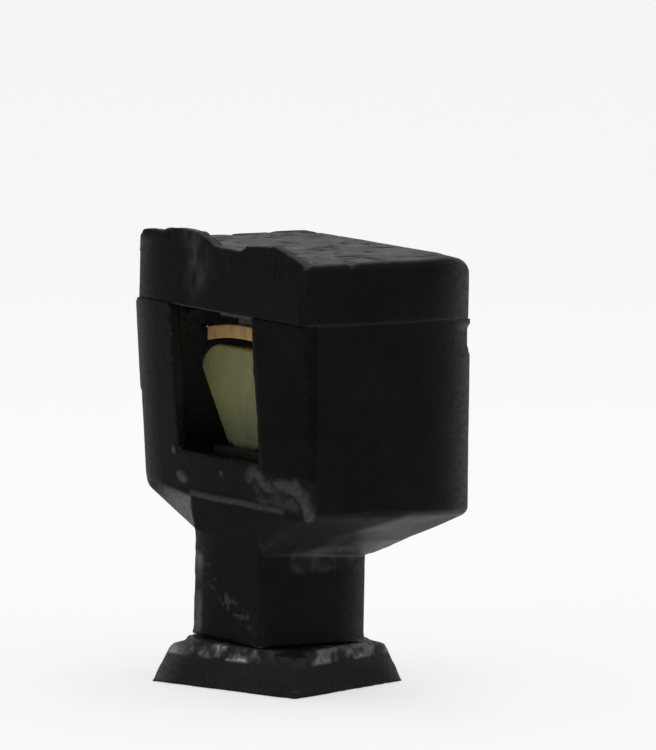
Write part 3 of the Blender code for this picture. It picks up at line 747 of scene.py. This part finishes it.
def shape_roof(material):
    """Lid: a wrinkled gloss top and a ragged lip that runs down the front in streaks."""
    skin = Skin("roof_cap", HOUSING_VOXEL, LANTERN_YAW)
    z = skin.points[:, 2]
    skin.smooth(4, weight=ramp(0.05, 0.25, np.abs(z - SEAM_Z))[:, None])
    x, y, z = skin.points.T
    outer = ramp(SEAM_Z - 0.05, SEAM_Z + 0.05, z)
    normal = skin.normals()
    on_lip = ramp(LIP_BACK_Y + 0.12, LIP_BACK_Y - 0.02, y) * ramp(4.3, 3.6, x)

    tighten_top_edge(skin)
    close_rim(skin)
    top = ramp(0.3, 0.8, normal[:, 2]) * ramp(ROOF_Z - 0.35, ROOF_Z - 0.05, z) * (1.0 - on_lip)
    top *= ramp(CAP_Y[1] - 0.2, CAP_Y[1] - 0.9, y) * 0.8 + 0.2
    crumple_top(skin, top)

    # The lip's upper edge is ragged
    ragged = ramp(ROOF_Z + 0.02, ROOF_Z + 0.20, z)
    skin.points[:, 2] += ragged * (0.045 * layered_noise(skin.points, (0.35, LONG, LONG), 121))
    skin.points[:, 1] += ragged * 0.05 * layered_noise(skin.points, (0.5, LONG, 0.5), 131)

    # Streaks run down the front below the lip
    front = ramp(-2.2, -2.4, y) * outer
    streaks = ridged_noise(skin.points, (0.34, LONG, 1.7), 141, 2) - 0.55
    run_x = band(-1.9, 0.2, 0.6, x)
    skin.points[:, 1] -= 0.09 * front * streaks * ramp(SEAM_Z + 0.5, ROOF_Z, z) * (0.3 + 0.7 * run_x)

    at_seam = ramp(SEAM_Z + 0.14, SEAM_Z + 0.06, z)
    skin.push(outer * (1.0 - at_seam) * (0.015 * layered_noise(skin.points, 2.2, 151, 2)
                                         + 0.005 * layered_noise(skin.points, 0.40, 161, 2)))
    edge = skin.edges() * outer * (1.0 - at_seam)
    bite = ramp(0.25, 0.6, lattice_noise(skin.points, 0.40, 171)) * ramp(0.3, 0.8, edge)
    skin.push(-0.04 * bite)

    # Smoothing makes a new array of points, so x, y and z below are the places before it
    skin.smooth(1, 0.3, weight=(1.0 - at_seam)[:, None])
    flat = ramp(0.20, 0.05, skin.edges()) * outer * (1.0 - at_seam) * ramp(0.5, 0.3, normal[:, 2])
    skin.smooth(6, weight=flat[:, None])

    # Dust lies along the foot of the lip and in a cloud over the streaks, and painted rim glow lies
    # at the corners
    foot_of_lip = band(LIP_BACK_Y - 0.05, LIP_BACK_Y + 0.30, 0.12, y) * top
    foot_of_lip *= ramp(0.0, 0.4, lattice_noise(skin.points, 0.3, 181))
    rim_glow = painted_rim_glow(x, y, CAP_HALF, *CAP_Y, 0.40) * ramp(ROOF_Z + 0.3, ROOF_Z - 0.2, z)
    cloud = stroke(x, z, ROOF_CLOUD, 0.95) * front
    cloud *= ramp(-0.5, 0.8, layered_noise(skin.points, (0.40, LONG, 0.75), 191, 3))
    skin.mark("edge", edge)
    skin.mark("rub_and_painted_light", 0.15 * front * run_x * ramp(12.9, 14.2, z) * ramp(0.0, 0.25, streaks))
    # Painted shade: the gloss of the edges is dulled
    skin.mark("painted_shade", 0.6 * edge)
    skin.mark("dust_and_painted_light", np.maximum.reduce([0.85 * rim_glow * outer, 0.45 * foot_of_lip, 0.25 * cloud]))
    return skin.finish("roof_shell", "lantern", material)


def shape_foot(material):
    """Foot: lumpy shoulders, worn arrises and a chipped lower edge."""
    skin = Skin("foot", FOOT_VOXEL)
    skin.smooth(4)
    x, y, z = skin.points.T
    reach = np.maximum(np.abs(x), np.abs(y))
    outside = ramp(1.95, 2.10, reach) * ramp(0.02, 0.10, z)
    running_face = ramp(FOOT_TOP_Z - 0.08, FOOT_TOP_Z - 0.03, z)
    free = outside * (1.0 - running_face)
    shoulder = band(1.05, 1.42, 0.12, z) * free

    # Uneven material fills the shoulder up to just under the turning post
    from_axis = np.hypot(x, y) + 0.07 * lattice_noise(skin.points, 0.4, 205)
    filled = ramp(3.08, 2.92, from_axis) * ramp(1.0, 1.15, z) * outside
    skin.points[:, 2] += filled * np.maximum(FOOT_TOP_Z - 0.005 - z, 0.0)
    skin.push(free * 0.014 * layered_noise(skin.points, 1.4, 201, 2))
    lumpy = shoulder * 0.045 * layered_noise(skin.points, 0.42, 211, 2)
    skin.push(np.where(z > FOOT_TOP_Z - 0.10, np.minimum(lumpy, 0.0), lumpy))

    edge = skin.edges() * free
    low_edge = ramp(0.32, 0.10, z) * ramp(2.6, 2.85, reach)
    bite = ramp(0.15, 0.6, lattice_noise(skin.points, 0.38, 221)) * ramp(0.2, 0.7, edge)
    skin.push(-0.05 * bite)
    corner = np.hypot(x - 3.0, y + 3.0)
    torn = ramp(0.85, 0.15, corner) * ramp(0.30, 0.05, z)
    torn += 0.5 * low_edge * ramp(0.2, 0.6, lattice_noise(skin.points, 0.30, 231))
    pull = 0.11 * torn * (0.6 + 0.4 * lattice_noise(skin.points, 0.22, 241))
    skin.points[:, :2] -= np.sign(skin.points[:, :2]) * pull[:, None]
    skin.smooth(1, 0.35)

    x, y, z = skin.points.T
    side_half = FOOT_HALF - FOOT_SLANT * z
    rim_glow = painted_rim_glow(x, y, side_half, -side_half, side_half, 0.45)
    patches = layered_noise(skin.points, (0.42, 0.42, 0.24), 251, 3)
    patchy = ramp(-0.20, 0.25, patches)
    left_end = ramp(-1.3, -2.3, x) * ramp(-1.9, -2.3, y)
    right_side = ramp(2.1, 2.4, x) * ramp(-1.9, -1.5, y)
    front_side = ramp(-2.1, -2.3, y) * ramp(-2.3, -1.9, x) * ramp(1.4, 1.0, x)
    ledge = band(1.00, 1.42, 0.10, z) * free
    rising = 0.03 + 0.17 * ramp(-1.4, 2.4, y) * ramp(0.2, 1.0, z)
    # The foot's dust mark is mostly painted light: painted rim glow at the corners, bluish painted
    # highlights on the shoulder patches, and a painted glow rising towards the back of the right
    # side. Its rubbed shoulders are partly painted highlight, and painted shade dulls the gloss of
    # its edges.
    skin.mark("edge", np.maximum(edge, 0.5 * low_edge))
    skin.mark("rub_and_painted_light", 0.3 * shoulder)
    skin.mark("painted_shade", 0.6 * edge)
    skin.mark("dust_and_painted_light", np.maximum.reduce([
        0.85 * rim_glow * outside, 0.95 * ledge * left_end, 0.92 * ledge * patchy * right_side,
        ledge * patchy * front_side, 0.08 * outside, rising * right_side * outside]))
    return skin.finish("foot_shell", "foot", material)


def shape_guide(material):
    """Light guide: soft moulded corners and a faintly crowned face."""
    skin = Skin("light_guide", GUIDE_VOXEL, LANTERN_YAW)
    skin.smooth(9)
    x, y, z = skin.points.T
    face = ramp(-0.9, -1.1, y)
    skin.points[:, 1] -= 0.05 * face * (1.0 - (x / 2.8) ** 2) * band(8.0, 11.3, 0.4, z)
    skin.push(0.012 * layered_noise(skin.points, 0.8, 301, 2))
    return skin.finish("guide_block", "lantern", material)


def shape_small(node, name, material, voxel, waver, size, seed):
    """Small formed piece of the lantern: rounded edges and a slightly uneven surface."""
    skin = Skin(node, voxel, LANTERN_YAW)
    skin.smooth(3)
    skin.push(waver * layered_noise(skin.points, size, seed, 2))
    return skin.finish(name, "lantern", material)


def make_pieces(looks):
    """The pieces that stand in for CAD nodes.  The other nodes show as they are."""
    shape_housing(looks["black_plastic"])
    shape_roof(looks["roof_plastic"])
    shape_foot(looks["black_plastic"])
    shape_guide(looks["guide_plastic"])
    for side, seed in (("left", 401), ("right", 402)):
        shape_small(f"contact_leaf_{side}", f"formed_leaf_{side}", looks["copper"],
                    LEAF_VOXEL, 0.008, 0.5, seed)
        shape_small(f"solder_stub_{side}", f"solder_bead_{side}", looks["solder"],
                    SOLDER_VOXEL, 0.016, 0.10, seed + 10)


def dress_cad_nodes(looks):
    """Gives each CAD node the look of its material slot."""
    slots = {part["node"]: part["material_slot"] for part in frame["record"]["subparts"]}
    for name, node in frame["nodes"].items():
        node.data.materials.clear()
        node.data.materials.append(looks[slots[name]])


def make_looks():
    """One material for each slot of the record."""
    return {
        "black_plastic": moulded_black(
            "black_plastic", worn_and_lit_tone=(0.075, 0.074, 0.071), peel_depth=0.0010),
        "roof_plastic": moulded_black(
            "roof_plastic", worn_and_lit_tone=(0.075, 0.075, 0.075), peel_depth=0.0008),
        "inner_black_plastic": matt_black("inner_black_plastic"),
        "guide_plastic": guide_plastic(),
        "brass": metal(
            "brass", bright=(0.72, 0.52, 0.23), dull=(0.42, 0.29, 0.12), rough=(0.18, 0.38),
            stretch=(1.0, 1.0, 12.0)),
        "spring_steel": metal(
            "spring_steel", bright=(0.56, 0.56, 0.58), dull=(0.33, 0.32, 0.31),
            rough=(0.18, 0.36), stretch=(8.0, 8.0, 1.0)),
        "copper": metal(
            "copper", bright=(0.95, 0.62, 0.28), dull=(0.72, 0.45, 0.19), rough=(0.28, 0.45),
            stretch=(10.0, 1.0, 1.0), metallic=0.65),
        "solder": metal(
            "solder", bright=(0.70, 0.70, 0.70), dull=(0.42, 0.42, 0.41), rough=(0.18, 0.40),
            stretch=PLAIN, grain=0.004),
        "natural_nylon": dull_solid(
            "natural_nylon", light=(0.64, 0.62, 0.55), dark=(0.55, 0.52, 0.45), size=0.6,
            rough=(0.38, 0.52), depth=0.003),
        "board_laminate": board_laminate(),
        "led_ceramic": dull_solid(
            "led_ceramic", light=(0.15, 0.16, 0.12), dark=(0.10, 0.11, 0.08), size=0.3,
            rough=(0.40, 0.55), depth=0.003),
        "led_phosphor": dull_solid(
            "led_phosphor", light=(0.80, 0.52, 0.09), dark=(0.70, 0.42, 0.05), size=0.2,
            rough=(0.25, 0.40), depth=0.002),
        "insulating_film": dull_solid(
            "insulating_film", light=(0.46, 0.25, 0.05), dark=(0.34, 0.17, 0.03), size=0.7,
            rough=(0.22, 0.38), depth=0.002, stretch=(1.0, 1.0, 4.0)),
    }


# ---------------------------------------------------------------- stage
def make_camera():
    """A very long lens, a little above the lantern and to its right."""
    right = Vector((math.cos(VIEW_AZIMUTH), math.sin(VIEW_AZIMUTH), 0.0))
    back = Vector((math.sin(VIEW_AZIMUTH) * math.cos(VIEW_ELEVATION),
                   -math.cos(VIEW_AZIMUTH) * math.cos(VIEW_ELEVATION),
                   math.sin(VIEW_ELEVATION)))
    up = back.cross(right)
    data = bpy.data.cameras.new("camera")
    data.sensor_width = 36.0
    data.lens = data.sensor_width * VIEW_DISTANCE / VIEW_HEIGHT
    data.clip_start = 0.001
    camera = bpy.data.objects.new("camera", data)
    bpy.context.scene.collection.objects.link(camera)
    camera.location = (right * AIM_RIGHT + up * AIM_UP + back * VIEW_DISTANCE) * MM
    camera.rotation_mode = "QUATERNION"
    camera.rotation_quaternion = back.to_track_quat("Z", "Y") @ Quaternion((0, 0, 1), VIEW_ROLL)
    bpy.context.scene.camera = camera


def make_floor():
    """A pale sheet under the foot.  Gloss doesn't mirror it, so that the black stays black."""
    bm = bmesh.new()
    bmesh.ops.create_grid(bm, x_segments=1, y_segments=1, size=FLOOR_SIZE * MM)
    mesh = bpy.data.meshes.new("floor")
    bm.to_mesh(mesh)
    bm.free()
    floor = bpy.data.objects.new("floor", mesh)
    bpy.context.scene.collection.objects.link(floor)
    floor.location.z = FLOOR_Z * MM
    floor.visible_glossy = False
    look = Look("floor", Roughness=1.0, Specular_IOR_Level=0.0, Base_Color=FLOOR_GREY,
                Emission_Color=PAPER_WHITE, Emission_Strength=FLOOR_GLOW)
    mesh.materials.append(look.material)


def make_world():
    """White to the camera.  The object sees a dim room, a bright floor and ceiling, and a sheet."""
    world = bpy.data.worlds.new("studio")
    bpy.context.scene.world = world
    world.use_nodes = True
    nodes, links = world.node_tree.nodes, world.node_tree.links
    shown = nodes["Background"]
    shown.inputs["Color"].default_value = PAPER_WHITE
    place = nodes.new("ShaderNodeTexCoord").outputs["Generated"]

    split = nodes.new("ShaderNodeSeparateXYZ")
    links.new(place, split.inputs["Vector"])
    level = nodes.new("ShaderNodeMapRange")
    level.inputs["From Min"].default_value = -1.0
    links.new(split.outputs["Z"], level.inputs["Value"])
    tones = nodes.new("ShaderNodeValToRGB")
    ramp_stops = tones.color_ramp.elements
    while len(ramp_stops) < len(ROOM_TONES):
        ramp_stops.new(0.5)
    for stop, (position, tone) in zip(ramp_stops, ROOM_TONES):
        stop.position = position
        stop.color = (tone, tone, tone, 1.0)
    links.new(level.outputs["Result"], tones.inputs["Fac"])

    # The sheet behind the object covers part of the horizon
    facing = nodes.new("ShaderNodeVectorMath")
    facing.operation = "DOT_PRODUCT"
    facing.inputs[1].default_value = (-math.sin(VIEW_AZIMUTH), math.cos(VIEW_AZIMUTH), 0.0)
    links.new(place, facing.inputs[0])
    sheet = nodes.new("ShaderNodeMapRange")
    sheet.interpolation_type = "SMOOTHSTEP"
    sheet.inputs["From Min"].default_value = math.cos(SHEET_OUTER)
    sheet.inputs["From Max"].default_value = math.cos(SHEET_INNER)
    sheet.inputs["To Max"].default_value = SHEET_TONE
    links.new(facing.outputs["Value"], sheet.inputs["Value"])
    brighter = nodes.new("ShaderNodeMath")
    brighter.operation = "MAXIMUM"
    links.new(tones.outputs["Color"], brighter.inputs[0])
    links.new(sheet.outputs["Result"], brighter.inputs[1])

    lit = nodes.new("ShaderNodeBackground")
    links.new(brighter.outputs["Value"], lit.inputs["Color"])
    path = nodes.new("ShaderNodeLightPath")
    choose = nodes.new("ShaderNodeMixShader")
    links.new(path.outputs["Is Camera Ray"], choose.inputs["Fac"])
    links.new(lit.outputs["Background"], choose.inputs[1])
    links.new(shown.outputs["Background"], choose.inputs[2])
    links.new(choose.outputs["Shader"], nodes["World Output"].inputs["Surface"])


def softbox(name, azimuth, elevation, distance, width, watts, tint, mirrored):
    """A square soft light that faces the lantern: degrees as for the camera, and millimetres."""
    data = bpy.data.lights.new(name, "AREA")
    data.size = width * MM
    data.energy = watts
    data.color = tint
    light = bpy.data.objects.new(name, data)
    bpy.context.scene.collection.objects.link(light)
    a, e = math.radians(azimuth), math.radians(elevation)
    back = Vector((math.sin(a) * math.cos(e), -math.cos(a) * math.cos(e), math.sin(e)))
    light.location = (back * distance + Vector((0.0, 0.0, ROOF_Z / 2.0))) * MM
    light.visible_glossy = mirrored
    light.rotation_euler = back.to_track_quat("Z", "Y").to_euler()


def make_lights():
    """One light for the roof, from above and behind, and one that reaches in at the window."""
    softbox("overhead", azimuth=200.0, elevation=66.0, distance=130.0, width=110.0,
            watts=0.012, tint=(1.0, 1.0, 1.0), mirrored=True)
    softbox("window_fill", azimuth=5.0, elevation=2.0, distance=110.0, width=40.0,
            watts=0.0118, tint=(1.0, 0.97, 0.90), mirrored=False)


bpy.context.scene.view_settings.view_transform = "Standard"
make_camera()
make_world()
make_floor()
make_lights()
all_looks = make_looks()
dress_cad_nodes(all_looks)
make_pieces(all_looks)
